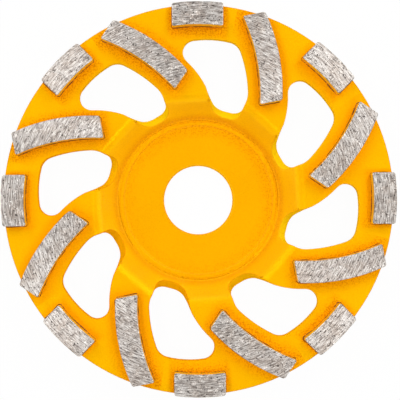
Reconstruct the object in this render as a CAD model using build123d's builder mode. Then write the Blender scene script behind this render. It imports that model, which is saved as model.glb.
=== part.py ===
from build123d import *

import os
from math import atan2, cos, radians, sin, sqrt, tan

# A fan-type diamond grinding cup wheel, 125 mm across, for an angle grinder.
#
# A pressed steel wheel lies on the back of its hub, with its working face up. Its
# dished wall runs from a round bend at the hub to eight straight folds, one
# across each spoke, with eight swept windows between the spokes. Eight short
# abrasive segments stand at the rim and eight long curved ones on the ring.
# All sizes are in millimetres, with +Z up and the origin on the bore's axis at
# the back of the hub. Angles are in degrees, counted from +X towards +Y.

# Driving dimensions of the steel body
sectors = 8
body_diameter = 124.3
bore_diameter = 22.23
sheet_thickness = 3.5
recess_depth = 7.6
bore_chamfer = 0.4

# The shallow clamping seat in the hub's front, and the coined bead round it
seat_depth = 0.15
bead_radius = 24.75
bead_width = 2.0
bead_height = 0.3
bead_flank_angle = 40.0

# The dished wall: a short cone above the round bend at the hub, and a straight fold across each spoke
hub_bend_radius = 26.0
hub_bend_fillet = 1.6
hub_cone_rise = 2.4
hub_cone_flare = 2.05
wall_run = 6.3
fold_fillet = 5.5
fold_azimuth = 3.0

# The windows, each laid out along its own line from the axis, at this azimuth. The points of its
# outline are (reach beyond the fold, across), and the two of its hub end (reach beyond the bend, across)
window_azimuth = -18.0
rim_lead_corner = (10.75, 24.45)
rim_trail_corner = (18.75, 3.39)
fold_trail_corner = (3.56, -5.02)
fold_trail_end = (1.25, -4.64)
fold_middle = (-0.42, 0.9)
fold_lead_end = (2.82, 9.05)
hub_trail_corner = (4.69, -4.17)
hub_lead_corner = (4.24, 3.52)

# The radii of the windows' curved sides and of their corners
rim_side_radius = 30.8
trail_side_radius = 42.1
lead_side_radius = 29.25
rim_lead_fillet = 3.95
rim_trail_fillet = 4.8
fold_trail_fillet = 8.0
hub_trail_fillet = 3.8
hub_lead_fillet = 5.4

# Driving dimensions of the abrasive segments
segment_height = 5.0
segment_corner_chamfer = 0.45
rim_segment_overhang = 0.35
rim_segment_depth = 7.25
rim_segment_width = 16.3
rim_segment_azimuth = 0.4
swept_segment_inset = 12.2
swept_segment_azimuth = 19.05
swept_segment_heading = 56.0
swept_segment_length = 28.4
swept_segment_width = 7.2
swept_segment_radius = 58.0

# The cutters run past the faces that they cut by this much, and edges are told apart within the margin
cut_clearance = 0.5
edge_margin = 0.01

# Heights and angles that follow from the driving dimensions
sector_angle = 360.0 / sectors
half_sector = radians(sector_angle / 2)
ring_bottom = recess_depth
ring_top = recess_depth + sheet_thickness
fold_reach = hub_bend_radius + wall_run
wall_slope = atan2(recess_depth, wall_run)
bend_offset = sheet_thickness * tan(wall_slope / 2)
hub_cone_radius = hub_bend_radius + hub_cone_flare
rim_segment_radius = body_diameter / 2 + rim_segment_overhang
swept_segment_reach = body_diameter / 2 - swept_segment_inset

# The windows' hub ends are cut square to the wall, from a plane that lies on its outer side there
corner_run = fold_reach / cos(half_sector) - hub_bend_radius
window_slope = atan2(recess_depth, corner_run)
lean_x = cos(radians(window_azimuth))
lean_y = sin(radians(window_azimuth))
wall_foot = hub_bend_radius + bend_offset
lean_height = 1.5 * sheet_thickness
window_plane = Plane(origin=(0, 0, -cut_clearance), x_dir=(lean_x, lean_y, 0), z_dir=(0, 0, 1))
wall_plane = Plane(
    origin=(wall_foot * lean_x, wall_foot * lean_y, 0),
    x_dir=(lean_y, -lean_x, 0),
    z_dir=(-sin(window_slope) * lean_x, -sin(window_slope) * lean_y, cos(window_slope)),
)


def hub_section(height, offset):
    """A disc at this height, as wide as the hub's cone is at its top, bounded by one arc a sector."""
    arcs = []
    for number in range(sectors):
        azimuth = fold_azimuth + (number - 0.5) * sector_angle
        arcs.append(CenterArc((0, 0, height), hub_cone_radius + offset, azimuth, sector_angle))
    return Face(Wire(arcs))


def fold_section(height, offset):
    """An eight-sided face at this height, bounded by the straight folds."""
    corner_reach = (fold_reach + offset) / cos(half_sector)
    corners = []
    for number in range(sectors):
        azimuth = radians(fold_azimuth + (number - 0.5) * sector_angle)
        corners.append((corner_reach * cos(azimuth), corner_reach * sin(azimuth), height))
    sides = [Line(corners[number], corners[(number + 1) % sectors]) for number in range(sectors)]
    return Face(Wire(sides))


def reach_of(edge):
    """How far the middle of an edge lies from the axis."""
    middle = edge @ 0.5
    return sqrt(middle.X**2 + middle.Y**2)


def is_inside_ring(edge):
    """Whether an edge is one of the bends and not the body's rim."""
    return reach_of(edge) < body_diameter / 2 - edge_margin


def is_bore_edge(edge):
    """Whether an edge is on the bore."""
    return edge.radius < bore_diameter / 2 + edge_margin


def by_fold(point):
    """A point of a window as (reach from the axis, across), from its reach beyond the fold."""
    return (fold_reach + point[0], point[1])


def by_hub(point):
    """A point of a window as (reach from the axis, across), from its reach beyond the hub's bend."""
    return (hub_bend_radius + point[0], point[1])


def on_wall(point, rise=0.0):
    """Where the upright line through a point (reach, across) meets the plane this far above the wall's."""
    outward = (point[0] - wall_foot) / cos(window_slope) + rise * tan(window_slope)
    return (-point[1], outward)


# One window as it is cut upright through the ring
with BuildPart() as ring_cut:
    with BuildSketch(window_plane) as window_outline:
        with BuildLine():
            RadiusArc(by_fold(rim_lead_corner), by_fold(rim_trail_corner), rim_side_radius)
            RadiusArc(by_fold(rim_trail_corner), by_fold(fold_trail_corner), trail_side_radius)
            fold_points = (fold_trail_corner, fold_trail_end, fold_middle, fold_lead_end)
            Polyline(*[by_fold(point) for point in fold_points])
            RadiusArc(by_fold(fold_lead_end), by_fold(rim_lead_corner), -lead_side_radius)
        make_face()
        rounded_corners = (
            (rim_lead_corner, rim_lead_fillet),
            (rim_trail_corner, rim_trail_fillet),
            (fold_trail_corner, fold_trail_fillet),
        )
        for corner, radius in rounded_corners:
            nearest = window_outline.vertices().sort_by_distance((*by_fold(corner), 0))[0]
            fillet(nearest, radius=radius)
    extrude(amount=ring_top + 2 * cut_clearance)

# The window's hub end, which leans with the sheet at the hub and is upright where it joins the ring
with BuildPart() as hub_end_cut:
    for rise in (-cut_clearance, lean_height):
        with BuildSketch(wall_plane.offset(rise)) as hub_end_outline:
            with BuildLine():
                Polyline(
                    on_wall(by_fold(fold_trail_end), rise),
                    on_wall(by_hub(hub_trail_corner)),
                    on_wall(by_hub(hub_lead_corner)),
                    on_wall(by_fold(fold_lead_end), rise),
                    close=True,
                )
            make_face()
            lead, trail = hub_end_outline.vertices().sort_by(Axis.Y)[:2].sort_by(Axis.X)
            fillet(trail, radius=hub_trail_fillet)
            fillet(hub_end_outline.vertices().sort_by_distance(lead)[0], radius=hub_lead_fillet)
    loft(ruled=True)


# The dished wall's outer side above the hub's cone, and its inner side, which bounds the recess
wall_outside = [hub_section(hub_cone_rise, bend_offset), fold_section(ring_bottom, bend_offset)]
wall_inside = [hub_section(sheet_thickness + hub_cone_rise, 0), fold_section(ring_top, 0)]
upright = (Align.CENTER, Align.CENTER, Align.MIN)
bead_base = (Align.CENTER, Align.MIN)

with BuildPart() as steel_body:
    with BuildSketch(Plane.XY.offset(ring_bottom)):
        Circle(body_diameter / 2)
    extrude(amount=sheet_thickness)
    loft(sections=wall_outside, ruled=True)
    Cone(hub_bend_radius + bend_offset, hub_cone_radius + bend_offset, hub_cone_rise, align=upright)
    loft(sections=wall_inside, ruled=True, mode=Mode.SUBTRACT)
    with Locations((0, 0, sheet_thickness)):
        Cone(hub_bend_radius, hub_cone_radius, hub_cone_rise, align=upright, mode=Mode.SUBTRACT)
    # The four bends, which keep the sheet's thickness
    inner_edges = steel_body.edges().filter_by(is_inside_ring)
    fillet(inner_edges.filter_by_position(Axis.Z, ring_top, ring_top), radius=fold_fillet)
    inner_edges = steel_body.edges().filter_by(is_inside_ring)
    fold_back = inner_edges.filter_by_position(Axis.Z, ring_bottom, ring_bottom)
    fillet(fold_back, radius=fold_fillet - sheet_thickness)
    inner_edges = steel_body.edges().filter_by(is_inside_ring)
    hub_front = inner_edges.filter_by_position(Axis.Z, sheet_thickness, sheet_thickness)
    fillet(hub_front, radius=hub_bend_fillet)
    hub_back = steel_body.edges().filter_by_position(Axis.Z, 0, 0)
    fillet(hub_back, radius=hub_bend_fillet + sheet_thickness)
    # The shallow seat, the coined bead that stands at its edge, and the bore
    with BuildSketch(Plane.XY.offset(sheet_thickness)):
        Circle(bead_radius)
    extrude(amount=-seat_depth, mode=Mode.SUBTRACT)
    with BuildSketch(Plane.XZ):
        with Locations((bead_radius, sheet_thickness - seat_depth)):
            Trapezoid(bead_width, bead_height + seat_depth, bead_flank_angle, align=bead_base)
    revolve(axis=Axis.Z)
    with Locations((0, 0, sheet_thickness)):
        Hole(bore_diameter / 2)
    bore_edges = steel_body.edges().filter_by(GeomType.CIRCLE).filter_by(is_bore_edge)
    chamfer(bore_edges, length=bore_chamfer)
    with PolarLocations(0, sectors):
        add(ring_cut.part, mode=Mode.SUBTRACT)
    with PolarLocations(0, sectors):
        add(hub_end_cut.part, mode=Mode.SUBTRACT)
steel_body.part.label = "steel_body"

os.makedirs("parts", exist_ok=True)
export_step(steel_body.part, "parts/steel_body.step")

# The short segments at the rim
for number in range(sectors):
    azimuth = radians(rim_segment_azimuth + number * sector_angle)
    outward = (cos(azimuth), sin(azimuth), 0)
    with BuildPart() as rim_segment:
        with BuildSketch(Plane(origin=(0, 0, ring_top), x_dir=outward, z_dir=(0, 0, 1))) as rim_outline:
            Circle(rim_segment_radius)
            Circle(rim_segment_radius - rim_segment_depth, mode=Mode.SUBTRACT)
            Rectangle(
                body_diameter, rim_segment_width, align=(Align.MIN, Align.CENTER), mode=Mode.INTERSECT
            )
            chamfer(rim_outline.vertices(), length=segment_corner_chamfer)
        extrude(amount=segment_height)
    rim_segment.part.label = f"rim_segment_{number + 1}"
    export_step(rim_segment.part, f"parts/{rim_segment.part.label}.step")

# The long segments on the ring, whose two faces bow the same way
half_length = swept_segment_length / 2
bow = swept_segment_radius - sqrt(swept_segment_radius**2 - half_length**2)
outer_side = bow - swept_segment_width / 2
inner_side = bow + swept_segment_width / 2
for number in range(sectors):
    azimuth = radians(swept_segment_azimuth + number * sector_angle)
    centre = (swept_segment_reach * cos(azimuth), swept_segment_reach * sin(azimuth), ring_top)
    heading = radians(swept_segment_heading + number * sector_angle)
    along = (cos(heading), sin(heading), 0)
    with BuildPart() as swept_segment:
        with BuildSketch(Plane(origin=centre, x_dir=along, z_dir=(0, 0, 1))) as swept_outline:
            with BuildLine():
                RadiusArc((-half_length, outer_side), (half_length, outer_side), -swept_segment_radius)
                Line((half_length, outer_side), (half_length, inner_side))
                RadiusArc((half_length, inner_side), (-half_length, inner_side), swept_segment_radius)
                Line((-half_length, inner_side), (-half_length, outer_side))
            make_face()
            chamfer(swept_outline.vertices(), length=segment_corner_chamfer)
        extrude(amount=segment_height)
    swept_segment.part.label = f"swept_segment_{number + 1}"
    export_step(swept_segment.part, f"parts/{swept_segment.part.label}.step")
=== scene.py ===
import logging
import math
from dataclasses import dataclass
from enum import Enum

import bmesh
import bpy
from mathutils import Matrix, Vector, noise


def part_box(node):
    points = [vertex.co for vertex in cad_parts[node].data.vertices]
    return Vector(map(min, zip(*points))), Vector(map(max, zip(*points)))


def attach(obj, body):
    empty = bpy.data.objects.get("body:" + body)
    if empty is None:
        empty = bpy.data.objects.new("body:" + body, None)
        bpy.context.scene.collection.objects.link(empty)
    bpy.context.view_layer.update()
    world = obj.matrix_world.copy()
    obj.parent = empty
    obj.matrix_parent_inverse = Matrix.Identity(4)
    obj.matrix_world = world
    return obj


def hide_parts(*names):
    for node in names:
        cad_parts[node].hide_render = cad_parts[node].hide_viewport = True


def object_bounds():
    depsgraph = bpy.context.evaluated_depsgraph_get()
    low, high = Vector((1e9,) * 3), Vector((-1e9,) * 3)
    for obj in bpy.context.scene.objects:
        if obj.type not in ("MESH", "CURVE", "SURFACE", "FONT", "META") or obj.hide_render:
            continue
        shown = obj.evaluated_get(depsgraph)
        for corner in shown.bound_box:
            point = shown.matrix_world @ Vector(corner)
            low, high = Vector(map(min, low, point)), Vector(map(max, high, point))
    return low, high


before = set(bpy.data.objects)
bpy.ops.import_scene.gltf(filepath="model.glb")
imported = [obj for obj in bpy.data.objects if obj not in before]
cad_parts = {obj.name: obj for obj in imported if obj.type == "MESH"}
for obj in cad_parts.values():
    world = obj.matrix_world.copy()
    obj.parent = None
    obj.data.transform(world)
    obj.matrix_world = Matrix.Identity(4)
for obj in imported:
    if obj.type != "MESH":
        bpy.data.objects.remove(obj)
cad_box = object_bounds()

# A fan-type grinding cup wheel seen from above its working face. The pressed steel
# body is a powder-coated shell with softened edges, and the sixteen abrasive
# segments are ground blocks with dug, pitted tops and overpainted flanks.
# Lengths are in metres, in the frame of the CAD model, with +Z up. Azimuths run from
# +X towards +Y, and a texture's grains are counted to the metre.

MM = 0.001
SEGMENTS_OF_A_KIND = 8
MERGE_DISTANCE = 0.002 * MM
FLAT_ANGLE = math.radians(0.6)
SEAM_INSET = 0.4 * MM
WHITE = (1.0, 1.0, 1.0, 1.0)

Colour = tuple[float, float, float, float]
Socket = bpy.types.NodeSocket

logging.basicConfig(level=logging.INFO, format="%(levelname)s %(message)s")
log = logging.getLogger("grinding_wheel")


class SegmentKind(Enum):
    """The two kinds of abrasive segment, by the stem of their nodes' names."""

    RIM = "rim_segment"
    SWEPT = "swept_segment"

    def nodes(self) -> list[str]:
        """List the names of this kind's CAD nodes."""
        return [f"{self.value}_{number}" for number in range(1, SEGMENTS_OF_A_KIND + 1)]


class Slot(Enum):
    """The material slots of the record."""

    STEEL = "painted_steel"
    BOND = "abrasive_bond"


class BodyFinish(Enum):
    """The body's finishes, by their places in its list of materials."""

    COAT = 0
    CUT = 1
    EDGE = 2


@dataclass(frozen=True)
class Ramp:
    """A smooth change from start to end while a value goes from low to high."""

    low: float
    high: float
    start: float = 0.0
    end: float = 1.0


@dataclass(frozen=True)
class Grain:
    """A noise texture: grains to the metre, finer layers and the layers' strength."""

    scale: float
    detail: float = 2.0
    roughness: float = 0.5


@dataclass(frozen=True)
class Relief:
    """A bump: its depth in metres and how much of it shows."""

    depth: float
    strength: float


class Graph:
    """A node tree, with short calls that add a node and join it up."""

    def __init__(self, owner: bpy.types.Material | bpy.types.World) -> None:
        """Start an empty tree.

        Args:
            owner: The new material or world whose tree it is.
        """
        owner.use_nodes = True
        self.tree = owner.node_tree
        self.tree.nodes.clear()
        is_world = isinstance(owner, bpy.types.World)
        self.output_kind = "OutputWorld" if is_world else "OutputMaterial"

    def node(self, kind: str, **settings: object) -> bpy.types.Node:
        """Add a node.

        Args:
            kind: The node's type name, without its ShaderNode stem.
            **settings: Attributes to set on the node.

        Returns:
            The new node.
        """
        made = self.tree.nodes.new("ShaderNode" + kind)
        for key, value in settings.items():
            setattr(made, key, value)
        return made

    def link(self, source: Socket, target: Socket) -> None:
        """Join an output to an input."""
        self.tree.links.new(source, target)

    def feed(self, target: Socket, value: object) -> None:
        """Give an input a constant or join it to an output.

        Args:
            target: The input.
            value: A number, a tuple or an output socket.
        """
        if isinstance(value, Socket):
            self.link(value, target)
        else:
            target.default_value = value

    def math(self, operation: str, *values: object) -> Socket:
        """Add a Math node.

        Args:
            operation: The node's operation.
            *values: A constant or an output for each of its inputs.

        Returns:
            The node's output.
        """
        made = self.node("Math", operation=operation)
        for number, value in enumerate(values):
            self.feed(made.inputs[number], value)
        return made.outputs[0]

    def vector_math(self, operation: str, *values: object) -> bpy.types.Node:
        """Add a Vector Math node.

        Args:
            operation: The node's operation.
            *values: A constant or an output for each of its inputs.

        Returns:
            The node.
        """
        made = self.node("VectorMath", operation=operation)
        for number, value in enumerate(values):
            self.feed(made.inputs[number], value)
        return made

    def split(self, vector: Socket) -> tuple[Socket, Socket, Socket]:
        """Take a vector apart.

        Args:
            vector: The vector.

        Returns:
            Its three parts.
        """
        made = self.node("SeparateXYZ")
        self.link(vector, made.inputs[0])
        return made.outputs[0], made.outputs[1], made.outputs[2]

    def join(self, *parts: object) -> Socket:
        """Put a vector together.

        Args:
            *parts: A constant or an output for each of its parts.

        Returns:
            The vector.
        """
        made = self.node("CombineXYZ")
        for number, part in enumerate(parts):
            self.feed(made.inputs[number], part)
        return made.outputs[0]

    def place(self) -> Socket:
        """Read Object coordinates."""
        return self.node("TexCoord").outputs["Object"]

    def flat(self, place: Socket) -> Socket:
        """Leave the height out of a place."""
        return self.vector_math("MULTIPLY", place, (1.0, 1.0, 0.0)).outputs[0]

    def reach(self, place: Socket) -> Socket:
        """Measure a place's distance from the wheel's axis."""
        return self.vector_math("LENGTH", self.flat(place)).outputs["Value"]

    def towards(self, place: Socket, azimuth: float) -> Socket:
        """Measure how far a place lies towards an azimuth, from the wheel's axis.

        Args:
            place: Object coordinates.
            azimuth: The direction, in radians.

        Returns:
            The distance, below nought on the far side.
        """
        direction = (math.cos(azimuth), math.sin(azimuth), 0.0)
        return self.vector_math("DOT_PRODUCT", place, direction).outputs["Value"]

    def wander(self, texture: Socket, width: float) -> Socket:
        """Turn a noise into a shift both ways from nought, for a ragged outline."""
        return self.math("MULTIPLY_ADD", texture, width, -width / 2)

    def ramp(self, value: Socket, ramp: Ramp) -> Socket:
        """Carry a value smoothly from one range into another, clamped at its ends.

        Args:
            value: The value to carry over.
            ramp: The two ranges.

        Returns:
            The carried value.
        """
        made = self.node("MapRange", interpolation_type="SMOOTHSTEP")
        parts = (value, ramp.low, ramp.high, ramp.start, ramp.end)
        for number, part in enumerate(parts):
            self.feed(made.inputs[number], part)
        return made.outputs[0]

    def mix(self, factor: Socket, first: object, second: object) -> Socket:
        """Mix two colours.

        Args:
            factor: How much of the second colour there is.
            first: The first colour, as a tuple or an output.
            second: The second colour, as a tuple or an output.

        Returns:
            The mixed colour.
        """
        made = self.node("Mix", data_type="RGBA", blend_type="MIX")
        self.feed(made.inputs["Factor"], factor)
        self.feed(made.inputs[6], first)
        self.feed(made.inputs[7], second)
        return made.outputs[2]

    def noise(self, vector: Socket, grain: Grain) -> Socket:
        """Add a noise texture.

        Args:
            vector: The coordinates that it reads.
            grain: Its settings.

        Returns:
            The noise, mostly between 0.25 and 0.75.
        """
        made = self.node("TexNoise")
        self.feed(made.inputs["Vector"], vector)
        made.inputs["Scale"].default_value = grain.scale
        made.inputs["Detail"].default_value = grain.detail
        made.inputs["Roughness"].default_value = grain.roughness
        return made.outputs["Fac"]

    def bump(
        self, height: Socket, relief: Relief, below: Socket | None = None
    ) -> Socket:
        """Add a bump.

        Args:
            height: Its heights, between 0 and 1.
            relief: Its depth and strength.
            below: The normal of an earlier bump, or None.

        Returns:
            The bent normal.
        """
        made = self.node("Bump")
        made.inputs["Strength"].default_value = relief.strength
        made.inputs["Distance"].default_value = relief.depth
        self.feed(made.inputs["Height"], height)
        if below is not None:
            self.link(below, made.inputs["Normal"])
        return made.outputs[0]

    def seen(self) -> Socket:
        """Tell the rays that show a background from those that light the wheel.

        Returns:
            1 for a ray of the camera or a mirrored or refracted one, and otherwise 0.
        """
        path = self.node("LightPath").outputs
        seen = self.math("MAXIMUM", path["Is Camera Ray"], path["Is Glossy Ray"])
        return self.math("MAXIMUM", seen, path["Is Transmission Ray"])

    def shader(self, kind: str, inputs: dict[str, object]) -> bpy.types.Node:
        """Add a shader.

        Args:
            kind: The node's type name, without its ShaderNode stem.
            inputs: A constant or an output for each input that it names.

        Returns:
            The new node.
        """
        made = self.node(kind)
        for name, value in inputs.items():
            self.feed(made.inputs[name], value)
        return made

    def blend(
        self, factor: Socket, first: bpy.types.Node, second: bpy.types.Node
    ) -> bpy.types.Node:
        """Mix two shaders.

        Args:
            factor: How much of the second shader there is.
            first: The first shader.
            second: The second shader.

        Returns:
            The mixed shader.
        """
        made = self.node("MixShader")
        for number, value in enumerate((factor, first.outputs[0], second.outputs[0])):
            self.link(value, made.inputs[number])
        return made

    def surface(self, shader: bpy.types.Node) -> None:
        """Make a shader the tree's surface."""
        output = self.node(self.output_kind)
        self.link(shader.outputs[0], output.inputs["Surface"])


def srgb(red: float, green: float, blue: float) -> Colour:
    """Turn a colour as a screen shows it, from 0 to 255, into a linear one.

    Args:
        red: The red channel.
        green: The green channel.
        blue: The blue channel.

    Returns:
        The linear colour with an alpha of 1.
    """
    channels = []
    for value in (red, green, blue):
        part = value / 255
        curved = ((part + 0.055) / 1.055) ** 2.4
        channels.append(part / 12.92 if part <= 0.04045 else curved)
    return (channels[0], channels[1], channels[2], 1.0)


@dataclass(frozen=True)
class SegmentFeet:
    """Where the segments stand on the ring, for the painted shade round their feet."""

    sector: float = math.radians(45.0)
    seam: float = math.radians(11.5)
    swept_reach: float = 49.95 * MM
    swept_azimuth: float = math.radians(19.05)
    swept_heading: float = math.radians(56.0)
    swept_half_length: float = 14.2 * MM
    swept_half_width: float = 3.6 * MM
    swept_bow: float = 116.0 * MM
    swept_far_side: float = 0.4 * MM
    rim_azimuth: float = math.radians(0.4)
    rim_reach: float = 55.25 * MM
    rim_half_width: float = 8.15 * MM
    rim_end_gain: float = 2.4

    def fold(self, graph: Graph, place: Socket, reach: Socket) -> Socket:
        """Turn a place by whole sectors into the first one.

        Args:
            graph: The material's node tree.
            place: Object coordinates.
            reach: The place's distance from the axis.

        Returns:
            The place in the first sector, with no height.
        """
        across, along, _ = graph.split(place)
        angle = graph.math("ARCTAN2", along, across)
        sectors = graph.math("DIVIDE", graph.math("ADD", angle, self.seam), self.sector)
        whole = graph.math("MULTIPLY", graph.math("FLOOR", sectors), self.sector)
        angle = graph.math("SUBTRACT", angle, whole)
        across = graph.math("MULTIPLY", reach, graph.math("COSINE", angle))
        along = graph.math("MULTIPLY", reach, graph.math("SINE", angle))
        return graph.join(across, along, 0.0)

    def beside(
        self,
        graph: Graph,
        place: Socket,
        middle: tuple[float, float, float],
        turn: float,
    ) -> tuple[Socket, Socket]:
        """Read a place in a segment's own directions.

        Args:
            graph: The material's node tree.
            place: The place in the first sector.
            middle: The segment's middle.
            turn: The segment's turn about the axis.

        Returns:
            The place along the segment and the place across it.
        """
        local = graph.node("Mapping", vector_type="TEXTURE")
        local.inputs["Location"].default_value = middle
        local.inputs["Rotation"].default_value = (0.0, 0.0, turn)
        graph.link(place, local.inputs["Vector"])
        along, across, _ = graph.split(local.outputs[0])
        return along, across

    def past(self, graph: Graph, place: Socket, half: float) -> Socket:
        """Measure how far a place lies past a half width on either side."""
        return graph.math("SUBTRACT", graph.math("ABSOLUTE", place), half)

    def outside(self, graph: Graph, across: Socket, along: Socket) -> Socket:
        """Join two overshoots into a distance, where one below nought counts as nought.

        Args:
            graph: The material's node tree.
            across: How far the place lies past the segment's side.
            along: How far it lies past the segment's end.

        Returns:
            The distance.
        """
        sideways = graph.math("MAXIMUM", across, 0.0)
        endways = graph.math("MAXIMUM", along, 0.0)
        square = graph.math("MULTIPLY", sideways, sideways)
        square = graph.math("MULTIPLY_ADD", endways, endways, square)
        return graph.math("SQRT", square)

    def from_swept(self, graph: Graph, place: Socket) -> Socket:
        """Measure how far a place is from the first sector's swept segment.

        Args:
            graph: The material's node tree.
            place: The place in the first sector.

        Returns:
            The distance, with a little added on the side that faces the rim.
        """
        right = self.swept_reach * math.cos(self.swept_azimuth)
        up = self.swept_reach * math.sin(self.swept_azimuth)
        along, across = self.beside(graph, place, (right, up, 0.0), self.swept_heading)
        bow = graph.math("DIVIDE", graph.math("MULTIPLY", along, along), self.swept_bow)
        across = graph.math("SUBTRACT", across, bow)
        far_ramp = Ramp(0.0, self.swept_half_width, self.swept_far_side, 0.0)
        far_side = graph.ramp(across, far_ramp)
        past_side = self.past(graph, across, self.swept_half_width)
        past_end = self.past(graph, along, self.swept_half_length)
        return graph.math("ADD", self.outside(graph, past_side, past_end), far_side)

    def from_rim(self, graph: Graph, place: Socket, reach: Socket) -> Socket:
        """Measure how far a place is from the first sector's rim segment.

        Args:
            graph: The material's node tree.
            place: The place in the first sector.
            reach: The place's distance from the axis.

        Returns:
            The distance, which grows faster past the segment's ends.
        """
        _, across = self.beside(graph, place, (0.0, 0.0, 0.0), self.rim_azimuth)
        past_inside = graph.math("SUBTRACT", self.rim_reach, reach)
        past_end = self.past(graph, across, self.rim_half_width)
        past_end = graph.math("MULTIPLY", past_end, self.rim_end_gain)
        return self.outside(graph, past_inside, past_end)

    def distance(self, graph: Graph, place: Socket, reach: Socket) -> Socket:
        """Measure how far a place on the ring is from the nearest segment, from above.

        Args:
            graph: The material's node tree.
            place: Object coordinates.
            reach: The place's distance from the axis.

        Returns:
            The distance in metres.
        """
        folded = self.fold(graph, place, reach)
        swept = self.from_swept(graph, folded)
        rim = self.from_rim(graph, folded, reach)
        return graph.math("MINIMUM", swept, rim)


@dataclass(frozen=True)
class PowderCoat:
    """The yellow-orange powder coat: satin, with painted shade in deeper, speckled
    colours.

    It has painted shade on the hub's seat and bend, stronger towards one side, and
    round the segments' feet. A ramp of reach, height or distance is in metres.
    """

    name: str
    ring_top: float
    # The coat's colours: the plain one; the ring's and the hub's darker ones, which are
    # painted shade; and the deep and speck colours of the painted shade round the hub and
    # the segments' feet, whose specks also give a faint grain.
    plain_colour: Colour = srgb(255, 189, 1)
    ring: Colour = srgb(238, 174, 1)
    shade_and_mottle: Colour = srgb(237, 163, 1)
    deep: Colour = srgb(247, 150, 1)
    speck: Colour = srgb(214, 121, 2)
    gloss_level: float = 0.8
    gloss_index: float = 1.6
    gloss_tint: Colour = (1.0, 0.68, 0.005, 1.0)
    cloud_roughness: Ramp = Ramp(0.3, 0.7, 0.25, 0.34)
    clouds: Grain = Grain(38.0, 3.0)
    flecks: Grain = Grain(2000.0, 2.0, 0.6)
    peel: Grain = Grain(1700.0, 2.0, 0.55)
    peel_relief: Relief = Relief(0.08 * MM, 0.6)
    ring_edge: float = 1.0 * MM
    # Painted shade low in the hub's recess and on the ring, darker towards the hub, with a
    # random mottle from the clouds.
    recess: Ramp = Ramp(3.5 * MM, 6.5 * MM, 1.0, 0.0)
    inner_ring: Ramp = Ramp(40.0 * MM, 56.0 * MM, 0.1, 0.0)
    cloud_cover: Ramp = Ramp(0.35, 0.65, 0.0, 0.3)
    # Where the painted shade lies on the hub's seat and bend.
    seat_inner: Ramp = Ramp(19.0 * MM, 24.0 * MM)
    seat_outer: Ramp = Ramp(24.0 * MM, 25.0 * MM, 0.7, 0.0)
    bend_inner: Ramp = Ramp(24.6 * MM, 25.3 * MM)
    bend_outer: Ramp = Ramp(25.8 * MM, 28.1 * MM, 0.48, 0.0)
    # The painted shade's side on the hub, its reach and wander round the segments' feet,
    # the axis along which its specks grow, and its share of the deep colour.
    shade_side: float = math.radians(60.0)
    shade_towards_side: Ramp = Ramp(-22.0 * MM, 18.0 * MM, 0.35, 1.05)
    halo: Ramp = Ramp(0.5 * MM, 5.6 * MM, 0.85, 0.0)
    halo_wander: float = 3.0 * MM
    speck_axis: float = math.radians(122.0)
    speck_axis_ramp: Ramp = Ramp(22.0 * MM, 46.0 * MM, 0.2, 1.7)
    deep_share: float = 0.75
    # Specks: strong where the painted shade is, and a faint grain everywhere.
    fleck_grades: Ramp = Ramp(0.46, 0.62)
    speck_share: float = 0.95
    least_speck: float = 0.14

    def shade_on_hub(self, graph: Graph, place: Socket, reach: Socket) -> Socket:
        """Tell how strong the painted shade is on the hub's seat and bend, stronger
        towards one side.

        Args:
            graph: The material's node tree.
            place: Object coordinates.
            reach: The place's distance from the axis.

        Returns:
            The powder's strength.
        """
        inside = graph.ramp(reach, self.bend_inner)
        bend = graph.math("MULTIPLY", inside, graph.ramp(reach, self.bend_outer))
        inside = graph.ramp(reach, self.seat_inner)
        seat = graph.math("MULTIPLY", inside, graph.ramp(reach, self.seat_outer))
        # Painted shade on the hub, stronger towards the side at 60 degrees.
        shade_towards_side = graph.ramp(graph.towards(place, self.shade_side), self.shade_towards_side)
        return graph.math("MULTIPLY", graph.math("MAXIMUM", bend, seat), shade_towards_side)

    def film(
        self,
        graph: Graph,
        reach: Socket,
        height: Socket,
        on_ring: Socket,
        clouds: Socket,
    ) -> Socket:
        """Colour the coat on the wall, the recess and the ring, with painted shade on the
        ring and in the recess.

        Args:
            graph: The material's node tree.
            reach: The place's distance from the axis.
            height: Its height.
            on_ring: 1 on the ring and 0 below it.
            clouds: The clouds' noise.

        Returns:
            The colour.
        """
        # Painted shade: the darker colour low in the hub's recess, then the ring's colour.
        film = graph.mix(graph.ramp(height, self.recess), self.plain_colour, self.shade_and_mottle)
        film = graph.mix(on_ring, film, self.ring)
        # Painted shade on the ring, darker towards the hub, with a random mottle from the
        # clouds.
        mottled_shade = graph.math("MULTIPLY", graph.ramp(reach, self.inner_ring), on_ring)
        mottled_shade = graph.math("ADD", graph.ramp(clouds, self.cloud_cover), mottled_shade)
        return graph.mix(mottled_shade, film, self.shade_and_mottle)

    def build(self) -> bpy.types.Material:
        """Make the material.

        Returns:
            The powder coat.
        """
        material = bpy.data.materials.new(self.name)
        graph = Graph(material)
        place = graph.place()
        clouds = graph.noise(place, self.clouds)
        flecks = graph.noise(place, self.flecks)
        peel = graph.noise(place, self.peel)
        reach = graph.reach(place)
        _, _, height = graph.split(place)
        ring_ramp = Ramp(self.ring_top - self.ring_edge, self.ring_top)
        on_ring = graph.ramp(height, ring_ramp)

        # Painted shade round the segments' feet on the ring, joined with the hub's painted
        # shade, in the deep colour.
        beside = SegmentFeet().distance(graph, place, reach)
        beside = graph.math("ADD", beside, graph.wander(clouds, self.halo_wander))
        feet = graph.math("MULTIPLY", graph.ramp(beside, self.halo), on_ring)
        hub_shade = self.shade_on_hub(graph, place, reach)
        painted_shade = graph.math("MAXIMUM", hub_shade, feet)
        deepened = graph.math("MULTIPLY", painted_shade, self.deep_share)

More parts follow.
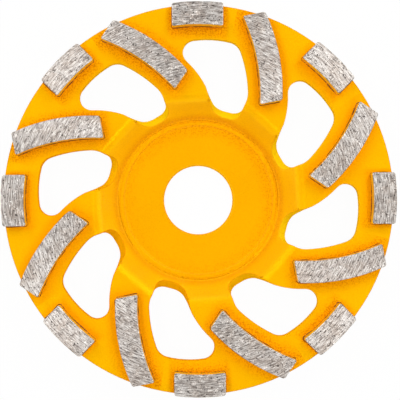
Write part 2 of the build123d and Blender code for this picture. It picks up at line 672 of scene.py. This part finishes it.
        # Specks of painted shade near the segments' feet, stronger along one axis, and on
        # the hub; a faint grain of specks everywhere else.
        off_line = graph.math("ABSOLUTE", graph.towards(place, self.speck_axis))
        patches = graph.ramp(off_line, self.speck_axis_ramp)
        foot_shade_specks = graph.math("MULTIPLY", graph.math("MULTIPLY", feet, feet), patches)
        strength = graph.math("MAXIMUM", hub_shade, foot_shade_specks)
        strength = graph.math(
            "MULTIPLY_ADD", strength, self.speck_share, self.least_speck
        )
        specks = graph.math("MULTIPLY", graph.ramp(flecks, self.fleck_grades), strength)

        film = self.film(graph, reach, height, on_ring, clouds)
        # The deep colour of the painted shade, then its specks.
        film = graph.mix(deepened, film, self.deep)
        film = graph.mix(specks, film, self.speck)
        shader = graph.shader(
            "BsdfPrincipled",
            {
                "Base Color": film,
                "IOR": self.gloss_index,
                "Specular IOR Level": self.gloss_level,
                "Specular Tint": self.gloss_tint,
                "Roughness": graph.ramp(clouds, self.cloud_roughness),
                "Normal": graph.bump(peel, self.peel_relief),
            },
        )
        graph.surface(shader)
        return material


@dataclass(frozen=True)
class CutCoat:
    """The coat on the sheet's cut sides and edges: matt, with painted light towards one
    side and painted shade on the other.
    """

    name: str
    # Painted light on the side towards 45 degrees and painted shade on the far side; the
    # rim's side keeps one colour.
    lit: Colour = srgb(255, 211, 14)
    shaded: Colour = srgb(253, 181, 3)
    rim: Colour = srgb(242, 178, 2)
    rim_band: Ramp = Ramp(54.0 * MM, 57.0 * MM)
    lit_side: float = math.radians(45.0)
    lit_ramp: Ramp = Ramp(-26.0 * MM, 12.0 * MM)
    lit_wander: float = 12.0 * MM
    roughness: float = 0.45
    gloss_level: float = 0.0
    peel: Grain = Grain(1700.0, 2.0, 0.55)
    peel_relief: Relief = Relief(0.08 * MM, 0.6)

    def build(self) -> bpy.types.Material:
        """Make the material.

        Returns:
            The coat of the cuts.
        """
        material = bpy.data.materials.new(self.name)
        graph = Graph(material)
        place = graph.place()
        peel = graph.noise(place, self.peel)
        # Painted light towards 45 degrees, painted shade away from it, with a ragged
        # change between.
        way = graph.towards(place, self.lit_side)
        way = graph.math("ADD", way, graph.wander(peel, self.lit_wander))
        film = graph.mix(graph.ramp(way, self.lit_ramp), self.shaded, self.lit)
        film = graph.mix(graph.ramp(graph.reach(place), self.rim_band), film, self.rim)
        shader = graph.shader(
            "BsdfPrincipled",
            {
                "Base Color": film,
                "Roughness": self.roughness,
                "Specular IOR Level": self.gloss_level,
                "Normal": graph.bump(peel, self.peel_relief),
            },
        )
        graph.surface(shader)
        return material


@dataclass(frozen=True)
class GroundBond:
    """The segments' metal bond: a ground top with scratches, pits and grit.

    The scratches run round the wheel. The flanks are painted, up to a ragged edge
    just below the top. A ramp of a noise gives the share of the colour that it adds.
    """

    top_height: float
    name: str = "ground_bond"
    pale: Colour = srgb(161, 155, 150)
    warm: Colour = srgb(148, 138, 130)
    dull: Colour = srgb(79, 70, 65)
    pit: Colour = srgb(53, 47, 44)
    grit: Colour = srgb(246, 243, 238)
    coat: Colour = srgb(250, 202, 14)
    coat_shade: Colour = srgb(244, 180, 8)
    seam_turn: float = math.radians(145.5)
    mean_reach: float = 50.0 * MM
    stretch: float = 0.09
    height_share: float = 0.2
    scratches: Grain = Grain(4400.0, 2.0, 0.6)
    bands: Grain = Grain(1320.0)
    clouds: Grain = Grain(220.0, 3.0)
    pits: Grain = Grain(1500.0, 3.0, 0.6)
    grits: Grain = Grain(1900.0, 0.0)
    warm_clouds: Ramp = Ramp(0.35, 0.68)
    dull_scratches: Ramp = Ramp(0.48, 0.39, 0.0, 0.74)
    bright_scratches: Ramp = Ramp(0.53, 0.63, 0.0, 0.36)
    dull_bands: Ramp = Ramp(0.45, 0.32, 0.0, 0.12)
    bright_grits: Ramp = Ramp(0.76, 0.82, 0.0, 0.35)
    lost_grits: Ramp = Ramp(0.30, 0.22, 0.0, 0.9)
    pit_floors: Ramp = Ramp(0.36, 0.30)
    pit_walls: Ramp = Ramp(0.25, 0.42)
    coat_below: float = 0.6 * MM
    bare_above: float = 0.4 * MM
    bare_facing: Ramp = Ramp(0.45, 0.62)
    facing_wander: float = 0.5
    shade_clouds: Ramp = Ramp(0.4, 0.7)
    metallic: float = 0.95
    scratch_roughness: Ramp = Ramp(0.3, 0.7, 0.36, 0.5)
    brushed: float = 0.86
    scratch_relief: Relief = Relief(0.03 * MM, 0.5)
    pit_relief: Relief = Relief(0.08 * MM, 0.7)

    def round_the_wheel(self, graph: Graph, place: Socket) -> Socket:
        """Turn a place into one that runs round the wheel, as the grinding does.

        Args:
            graph: The material's node tree.
            place: Object coordinates.

        Returns:
            The reach, the shortened way round and the height, with the seam between
            two segments.
        """
        turned = graph.node("Mapping")
        turned.inputs["Rotation"].default_value = (0.0, 0.0, self.seam_turn)
        graph.link(place, turned.inputs["Vector"])
        across, along, height = graph.split(turned.outputs[0])
        angle = graph.math("ARCTAN2", along, across)
        way = graph.math("MULTIPLY", angle, self.mean_reach * self.stretch)
        height = graph.math("MULTIPLY", height, self.height_share)
        return graph.join(graph.reach(turned.outputs[0]), way, height)

    def metal(
        self,
        graph: Graph,
        clouds: Socket,
        scratches: Socket,
        bands: Socket,
        grits: Socket,
        pits: Socket,
    ) -> Socket:
        """Colour the ground metal, one kind of mark over the other.

        Args:
            graph: The material's node tree.
            clouds: The clouds' noise.
            scratches: The scratches' noise.
            bands: The broad bands' noise.
            grits: The grit's noise.
            pits: The pits' noise.

        Returns:
            The colour.
        """
        metal = graph.mix(graph.ramp(clouds, self.warm_clouds), self.pale, self.warm)
        marks = (
            (scratches, self.dull_scratches, self.dull),
            (scratches, self.bright_scratches, self.grit),
            (bands, self.dull_bands, self.dull),
            (grits, self.bright_grits, self.grit),
            (grits, self.lost_grits, self.pit),
            (pits, self.pit_floors, self.pit),
        )
        for texture, ramp, colour in marks:
            metal = graph.mix(graph.ramp(texture, ramp), metal, colour)
        return metal

    def bare(self, graph: Graph, place: Socket, pits: Socket) -> Socket:
        """Tell where the metal is bare: high up and facing upwards, with a ragged edge.

        Args:
            graph: The material's node tree.
            place: Object coordinates.
            pits: The pits' noise.

        Returns:
            1 on the bare metal and 0 on the paint.
        """
        _, _, height = graph.split(place)
        _, _, facing = graph.split(graph.node("NewGeometry").outputs["Normal"])
        painted = self.top_height - self.coat_below
        ground = self.top_height - self.bare_above
        above = graph.ramp(height, Ramp(painted, ground))
        facing = graph.math("ADD", facing, graph.wander(pits, self.facing_wander))
        return graph.math("MULTIPLY", above, graph.ramp(facing, self.bare_facing))

    def build(self) -> bpy.types.Material:
        """Make the material.

        Returns:
            The bond with its painted flanks.
        """
        material = bpy.data.materials.new(self.name)
        graph = Graph(material)
        place = graph.place()
        sweep = self.round_the_wheel(graph, place)
        scratches = graph.noise(sweep, self.scratches)
        bands = graph.noise(sweep, self.bands)
        clouds = graph.noise(place, self.clouds)
        pits = graph.noise(place, self.pits)
        grits = graph.noise(place, self.grits)
        metal = self.metal(graph, clouds, scratches, bands, grits, pits)
        bare = self.bare(graph, place, pits)
        shade = graph.ramp(clouds, self.shade_clouds)
        paint = graph.mix(shade, self.coat, self.coat_shade)
        outward = graph.vector_math("NORMALIZE", graph.flat(place)).outputs[0]
        relief = graph.bump(scratches, self.scratch_relief)
        relief = graph.bump(graph.ramp(pits, self.pit_walls), self.pit_relief, relief)
        shader = graph.shader(
            "BsdfPrincipled",
            {
                "Base Color": graph.mix(bare, paint, metal),
                "Metallic": graph.math("MULTIPLY", bare, self.metallic),
                "Roughness": graph.ramp(scratches, self.scratch_roughness),
                "Anisotropic": self.brushed,
                "Tangent": outward,
                "Normal": relief,
            },
        )
        graph.surface(shader)
        return material


@dataclass(frozen=True)
class BrazeAndContactShadow:
    """The dark brown at a segment's foot: partly brazing, partly painted contact shadow,
    thinly painted over in places.
    """

    name: str = "braze_and_contact_shadow"
    # Dark brown: partly the brazing's colour, partly painted contact shadow at the foot.
    braze_shadow_brown: Colour = srgb(124, 69, 13)
    veiled: Colour = srgb(228, 146, 9)
    patches: Grain = Grain(700.0, 3.0, 0.6)
    veil: Ramp = Ramp(0.45, 0.65)
    roughness: Ramp = Ramp(0.3, 0.7, 0.55, 0.8)
    gloss_level: float = 0.2
    relief: Relief = Relief(0.1 * MM, 0.8)

    def build(self) -> bpy.types.Material:
        """Make the material.

        Returns:
            The brazing and its painted contact shadow.
        """
        material = bpy.data.materials.new(self.name)
        graph = Graph(material)
        patches = graph.noise(graph.place(), self.patches)
        veil = graph.ramp(patches, self.veil)
        shader = graph.shader(
            "BsdfPrincipled",
            {
                "Base Color": graph.mix(veil, self.braze_shadow_brown, self.veiled),
                "Roughness": graph.ramp(patches, self.roughness),
                "Specular IOR Level": self.gloss_level,
                "Normal": graph.bump(patches, self.relief),
            },
        )
        graph.surface(shader)
        return material


@dataclass(frozen=True)
class StudioFloor:
    """A matt white floor: a bright sweep to the camera, with a faint shadow."""

    name: str = "studio_floor"
    colour: Colour = (0.86, 0.86, 0.86, 1.0)
    glow_share: float = 0.97

    def build(self) -> bpy.types.Material:
        """Make the material.

        Returns:
            The floor's material.
        """
        material = bpy.data.materials.new(self.name)
        graph = Graph(material)
        matt = graph.shader("BsdfDiffuse", {"Color": self.colour})
        glow = graph.shader("Emission", {"Color": WHITE})
        share = graph.math("MULTIPLY", graph.seen(), self.glow_share)
        graph.surface(graph.blend(share, matt, glow))
        return material


def clean_copy(node: str) -> bmesh.types.BMesh:
    """Read a CAD node into a new bmesh, with its triangles joined and its planes whole.

    Args:
        node: The CAD node's name.

    Returns:
        The mesh.
    """
    shape = bmesh.new()
    shape.from_mesh(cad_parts[node].data)
    bmesh.ops.remove_doubles(shape, verts=shape.verts, dist=MERGE_DISTANCE)
    bmesh.ops.dissolve_limit(
        shape,
        angle_limit=FLAT_ANGLE,
        verts=shape.verts,
        edges=shape.edges,
        delimit=set(),
    )
    return shape


def round_edges(
    shape: bmesh.types.BMesh, sharp_angle: float, width: float, steps: int, clamp: bool
) -> list[bmesh.types.BMFace]:
    """Round a mesh's sharp edges with a bevel.

    Args:
        shape: The mesh.
        sharp_angle: The angle between faces past which an edge is sharp.
        width: The bevel's width.
        steps: Its segments.
        clamp: Whether it stops where two edges' bevels meet.

    Returns:
        The bevel's faces.
    """
    rounded = bmesh.ops.bevel(
        shape,
        geom=[edge for edge in shape.edges if edge.calc_face_angle(0.0) > sharp_angle],
        offset=width,
        offset_type="OFFSET",
        segments=steps,
        profile=0.5,
        affect="EDGES",
        material=-1,
        clamp_overlap=clamp,
    )
    return rounded["faces"]


def place_piece(
    shape: bmesh.types.BMesh, name: str, *materials: bpy.types.Material
) -> bpy.types.Object:
    """Turn a finished bmesh into an object in the scene.

    Args:
        shape: The mesh, which is freed.
        name: The object's name.
        *materials: Its finishes.

    Returns:
        The object, at the origin.
    """
    mesh = bpy.data.meshes.new(name)
    shape.to_mesh(mesh)
    shape.free()
    for material in materials:
        mesh.materials.append(material)
    piece = bpy.data.objects.new(name, mesh)
    bpy.context.scene.collection.objects.link(piece)
    return piece


def share_noise(place: Vector) -> float:
    """Read a noise between 0 and 1 at a place."""
    return 0.5 + 0.5 * noise.noise(place)


def apply_modifiers(piece: bpy.types.Object) -> None:
    """Put a piece's modifiers into its mesh and take them off.

    Args:
        piece: The piece.
    """
    bpy.context.view_layer.update()
    graph = bpy.context.evaluated_depsgraph_get()
    finished = bpy.data.meshes.new_from_object(piece.evaluated_get(graph))
    piece.modifiers.clear()
    spare = piece.data
    piece.data = finished
    bpy.data.meshes.remove(spare)


@dataclass
class PressedBody:
    """The pressed steel body: the CAD shell with its edges softened by the coat."""

    node: str = "steel_body"
    name: str = "coated_body"
    sharp_angle: float = math.radians(35.0)
    edge_round: float = 0.24 * MM
    edge_steps: int = 3
    bore_reach: float = 12.5 * MM
    hub_reach: float = 26.3 * MM
    upright: float = 0.3
    level: float = 0.9
    most_inward: float = -0.25

    def build(
        self,
        coat: bpy.types.Material,
        cut_coat: bpy.types.Material,
        edge_coat: bpy.types.Material,
    ) -> bpy.types.Object:
        """Make the body and dress it.

        Args:
            coat: The powder coat.
            cut_coat: The same coat where it lies on the cut sides of the sheet.
            edge_coat: The same coat on the rounded edges, in darker colours.

        Returns:
            The finished piece.
        """
        shape = clean_copy(self.node)
        for face in shape.faces:
            face.smooth = True
            finish = BodyFinish.CUT if self.is_cut(face) else BodyFinish.COAT
            face.material_index = finish.value
        self.soften(shape)
        piece = place_piece(shape, self.name, coat, cut_coat, edge_coat)
        shading = piece.modifiers.new("even_shading", "WEIGHTED_NORMAL")
        shading.keep_sharp = True
        apply_modifiers(piece)
        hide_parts(self.node)
        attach(piece, "root")
        return piece

    def is_cut(self, face: bmesh.types.BMFace) -> bool:
        """Tell whether a face is a cut side of the sheet, at the rim, bore or a window.

        Args:
            face: The face.

        Returns:
            Whether it is.
        """
        middle = face.calc_center_median()
        reach = math.hypot(middle.x, middle.y)
        outward = (face.normal.x * middle.x + face.normal.y * middle.y) / reach
        if abs(face.normal.z) < self.upright:
            return True
        sloping = 0.0 < face.normal.z < self.level
        return reach > self.hub_reach and sloping and outward > self.most_inward

    def soften(self, shape: bmesh.types.BMesh) -> None:
        """Round the sharp edges and dress them, apart from the hub's coined bead.

        Args:
            shape: The body.
        """
        rounded = round_edges(
            shape, self.sharp_angle, self.edge_round, self.edge_steps, clamp=False
        )
        for face in rounded:
            middle = face.calc_center_median()
            face.smooth = True
            reach = math.hypot(middle.x, middle.y)
            on_bead = self.bore_reach < reach < self.hub_reach
            finish = BodyFinish.COAT if on_bead else BodyFinish.EDGE
            face.material_index = finish.value


@dataclass
class AbrasiveSegments:
    """One kind of abrasive segment: the CAD blocks, worn on top and on their flanks."""

    kind: SegmentKind
    sharp_angle: float = math.radians(40.0)
    edge_round: float = 0.07 * MM
    edge_steps: int = 2
    voxel: float = 0.17 * MM
    pit_depth: float = 0.18 * MM
    pit_grains: float = 1100.0
    pit_shift: tuple[float, float, float] = (7.0, 3.0, 1.0)
    pit_threshold: float = 0.34
    pit_steepness: float = 4.0
    groove_depth: float = 0.02 * MM
    groove_grains: float = 1500.0
    groove_grains_along: float = 110.0
    groove_layer: float = 2.0
    flank_depth: float = 0.05 * MM
    flank_grains: float = 900.0
    foot_height: float = 0.4 * MM

    def build(self, bond: bpy.types.Material) -> list[bpy.types.Object]:
        """Make and dress every segment of this kind.

        Args:
            bond: The bond's material.

        Returns:
            The finished pieces.
        """
        pieces = []
        for node in self.kind.nodes():
            piece = self.make_block(node, bond)
            self.wear(piece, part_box(node)[0].z)
            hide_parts(node)
            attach(piece, "root")
            pieces.append(piece)
        return pieces

    def make_block(self, node: str, bond: bpy.types.Material) -> bpy.types.Object:
        """Copy a segment's block, round its edges and give it an even mesh.

        Args:
            node: The CAD node's name.
            bond: The bond's material.

        Returns:
            The remeshed block.
        """
        shape = clean_copy(node)
        round_edges(
            shape, self.sharp_angle, self.edge_round, self.edge_steps, clamp=True
        )
        piece = place_piece(shape, f"ground_{node}", bond)
        remesh = piece.modifiers.new("even_mesh", "REMESH")
        remesh.mode = "VOXEL"
        remesh.voxel_size = self.voxel
        remesh.use_smooth_shade = True
        apply_modifiers(piece)
        return piece

    def wear(self, piece: bpy.types.Object, foot: float) -> None:
        """Dig pits and grinding grooves into the top and roughen the flanks, inwards.

        Args:
            piece: The remeshed block.
            foot: The height of the block's foot.
        """
        mesh = piece.data
        normals = [vertex.normal.copy() for vertex in mesh.vertices]
        for vertex, normal in zip(mesh.vertices, normals):
            place = vertex.co
            facing = max(0.0, normal.z)
            depth = facing * self.top_depth(place)
            coarse = share_noise(place * self.flank_grains)
            flank = (1.0 - facing) * self.flank_depth * coarse
            near_foot = min(1.0, max(0.0, (place.z - foot) / self.foot_height))
            vertex.co = place - normal * (depth + flank * near_foot)
        mesh.update()

    def top_depth(self, place: Vector) -> float:
        """Measure how deep the pits and the grooves are at a place on the top.

        Args:
            place: The place.

        Returns:
            The depth.
        """
        rough = noise.noise(place * self.pit_grains + Vector(self.pit_shift))
        pit = max(0.0, rough - self.pit_threshold) * self.pit_steepness
        reach = math.hypot(place.x, place.y)
        way = math.atan2(place.y, place.x) * reach
        lines = (
            reach * self.groove_grains,
            way * self.groove_grains_along,
            self.groove_layer,
        )
        groove = share_noise(Vector(lines))
        return self.pit_depth * min(1.0, pit) + self.groove_depth * groove


@dataclass
class BrazeAndShadowSeam:
    """The narrow uneven bead round a segment's foot, on the ring: partly brazing, partly
    painted contact shadow.
    """

    node: str
    widest_reach: float
    reach_out: float = 0.24 * MM
    top_share: float = 0.3
    unevenness: float = 0.30 * MM
    wave_grains: float = 260.0
    least_spread: float = 0.05 * MM
    height: float = 0.14 * MM
    step: float = 0.8 * MM

    def build(self, braze_and_shadow: bpy.types.Material) -> bpy.types.Object:
        """Make the seam of one segment.

        Args:
            braze_and_shadow: The braze's material.

        Returns:
            The finished piece.
        """
        low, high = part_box(self.node)
        shape = clean_copy(self.node)
        self.divide(shape)
        for vertex in shape.verts:
            above = vertex.co.z > (low.z + high.z) / 2
            self.spread(vertex, above)
            if above:
                vertex.co.z = low.z + self.height
        for face in shape.faces:
            face.smooth = False
        piece = place_piece(shape, f"braze_{self.node}", braze_and_shadow)
        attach(piece, "root")
        return piece

    def divide(self, shape: bmesh.types.BMesh) -> None:
        """Divide the level edges into steps.

        Args:
            shape: The segment's block.
        """
        level = []
        for edge in shape.edges:
            rise = edge.verts[0].co.z - edge.verts[1].co.z
            if abs(rise) < MERGE_DISTANCE:
                level.append(edge)
        for edge in level:
            cuts = int(edge.calc_length() / self.step)
            if cuts > 0:
                bmesh.ops.subdivide_edges(shape, edges=[edge], cuts=cuts)
        shape.normal_update()

    def spread(self, vertex: bmesh.types.BMVert, above: bool) -> None:
        """Move a corner of the seam outwards, but not past the wheel's edge.

        Args:
            vertex: The corner.
            above: Whether it is one of the upper ones.
        """
        outward = Vector((vertex.normal.x, vertex.normal.y, 0.0)).normalized()
        uneven = noise.noise(vertex.co * self.wave_grains) * self.unevenness
        spread = self.top_share * self.reach_out if above else self.reach_out + uneven
        vertex.co += outward * max(self.least_spread, spread)
        reach = math.hypot(vertex.co.x, vertex.co.y)
        if reach > self.widest_reach:
            vertex.co.x *= self.widest_reach / reach
            vertex.co.y *= self.widest_reach / reach


@dataclass(frozen=True)
class Softbox:
    """One soft lamp, by its azimuth, its tilt from straight above and its distance.

    Both angles are in degrees, the lengths in metres and the power in watts.
    """

    name: str
    azimuth: float
    tilt: float
    power: float
    distance: float = 0.8
    width: float = 0.16
    depth: float = 0.16

    def place(self) -> Vector:
        """Work out where the lamp hangs.

        Returns:
            Its centre.
        """
        azimuth, tilt = math.radians(self.azimuth), math.radians(self.tilt)
        flat = math.sin(tilt)
        way = (flat * math.cos(azimuth), flat * math.sin(azimuth), math.cos(tilt))
        return Vector(way) * self.distance


@dataclass
class Studio:
    """The floor, the soft lamps, the world and the camera above the wheel."""

    camera_place: tuple[float, float, float] = (-6.0 * MM, -8.0 * MM, 461.1 * MM)
    lens: float = 127.1
    sensor: float = 36.0
    shift_right: float = 0.0505
    shift_up: float = 0.0618
    nearest: float = 0.01
    farthest: float = 10.0
    floor_reach: float = 3.0
    floor_gap: float = 0.05 * MM
    world_strength: float = 0.1
    softboxes: tuple[Softbox, ...] = (
        Softbox("upper_right_softbox", 37.0, 24.0, 0.58),
        Softbox("upper_left_softbox", 143.0, 24.0, 0.6),
        Softbox("lower_left_softbox", 217.0, 24.0, 0.98),
        Softbox("lower_right_softbox", 323.0, 24.0, 0.98),
        Softbox("right_key_softbox", 50.0, 42.0, 1.42, 0.8, 0.28, 0.28),
        Softbox("left_key_softbox", 130.0, 42.0, 1.26, 0.8, 0.28, 0.28),
        Softbox("low_top_softbox", 90.0, 64.0, 1.25, 0.9, 0.9, 0.5),
        Softbox("low_right_softbox", 0.0, 64.0, 1.5, 0.9, 0.9, 0.5),
        Softbox("low_left_softbox", 180.0, 64.0, 1.55, 0.9, 0.9, 0.5),
        Softbox("low_bottom_softbox", 270.0, 64.0, 1.55, 0.9, 0.9, 0.5),
    )

    def build(self) -> None:
        """Make the whole studio."""
        self.make_floor()
        self.make_world()
        for softbox in self.softboxes:
            self.hang(softbox)
        self.make_camera()
        log.info("studio: floor, %d lamps, world and camera", len(self.softboxes))

    def make_floor(self) -> None:
        """Lay the floor that the wheel lies on."""
        shape = bmesh.new()
        bmesh.ops.create_grid(shape, x_segments=1, y_segments=1, size=self.floor_reach)
        bmesh.ops.translate(shape, verts=shape.verts, vec=(0.0, 0.0, -self.floor_gap))
        floor = place_piece(shape, "studio_floor", StudioFloor().build())

    def make_world(self) -> None:
        """Fill the room with even light, white to the camera and to mirrored rays."""
        world = bpy.data.worlds.new("studio_world")
        bpy.context.scene.world = world
        graph = Graph(world)
        soft = {"Color": WHITE, "Strength": self.world_strength}
        lighting = graph.shader("Background", soft)
        backdrop = graph.shader("Background", {"Color": WHITE, "Strength": 1.0})
        graph.surface(graph.blend(graph.seen(), lighting, backdrop))

    def hang(self, softbox: Softbox) -> None:
        """Hang a softbox so that it faces the wheel.

        Args:
            softbox: Where it hangs, its size and its power.
        """
        light = bpy.data.lights.new(softbox.name, "AREA")
        light.shape = "RECTANGLE"
        light.size = softbox.width
        light.size_y = softbox.depth
        light.energy = softbox.power
        lamp = bpy.data.objects.new(softbox.name, light)
        bpy.context.scene.collection.objects.link(lamp)
        lamp.location = softbox.place()
        lamp.rotation_euler = lamp.location.to_track_quat("Z", "Y").to_euler()

    def make_camera(self) -> None:
        """Set the camera straight above the wheel, a little to one side of its axis."""
        lens = bpy.data.cameras.new("above")
        lens.lens = self.lens
        lens.sensor_width = self.sensor
        lens.sensor_fit = "HORIZONTAL"
        lens.shift_x = self.shift_right
        lens.shift_y = self.shift_up
        lens.clip_start = self.nearest
        lens.clip_end = self.farthest
        camera = bpy.data.objects.new("above", lens)
        bpy.context.scene.collection.objects.link(camera)
        camera.location = self.camera_place
        bpy.context.scene.camera = camera


def report(pieces: list[bpy.types.Object]) -> None:
    """Report finished pieces in the log.

    Args:
        pieces: The pieces.
    """
    for piece in pieces:
        log.info("%s: %d faces", piece.name, len(piece.data.polygons))


def main() -> None:
    """Build the wheel and the studio round it."""
    bpy.context.scene.view_settings.view_transform = "Standard"
    ring_top, segment_top = (corner.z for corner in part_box("rim_segment_1"))
    coat = PowderCoat("powder_coat", ring_top)
    cut_coat = CutCoat("powder_coat_on_cuts")
    # The rounded edges: the cuts' coat in darker colours, with the same painted light and
    # shade by side.
    edge_coat = CutCoat(
        "powder_coat_on_edges",
        lit=srgb(246, 180, 16),
        shaded=srgb(238, 157, 7),
        rim=srgb(236, 164, 5),
    )
    bond = GroundBond(segment_top).build()
    report([PressedBody().build(coat.build(), cut_coat.build(), edge_coat.build())])
    # The dark seams round the segments' feet: partly brazing, partly painted contact
    # shadow.
    braze_and_shadow = BrazeAndContactShadow().build()
    widest_reach = cad_box[1].x - SEAM_INSET
    for kind in SegmentKind:
        report(AbrasiveSegments(kind).build(bond))
        seams = [BrazeAndShadowSeam(node, widest_reach) for node in kind.nodes()]
        report([seam.build(braze_and_shadow) for seam in seams])
    Studio().build()


if __name__ == "__main__":
    main()
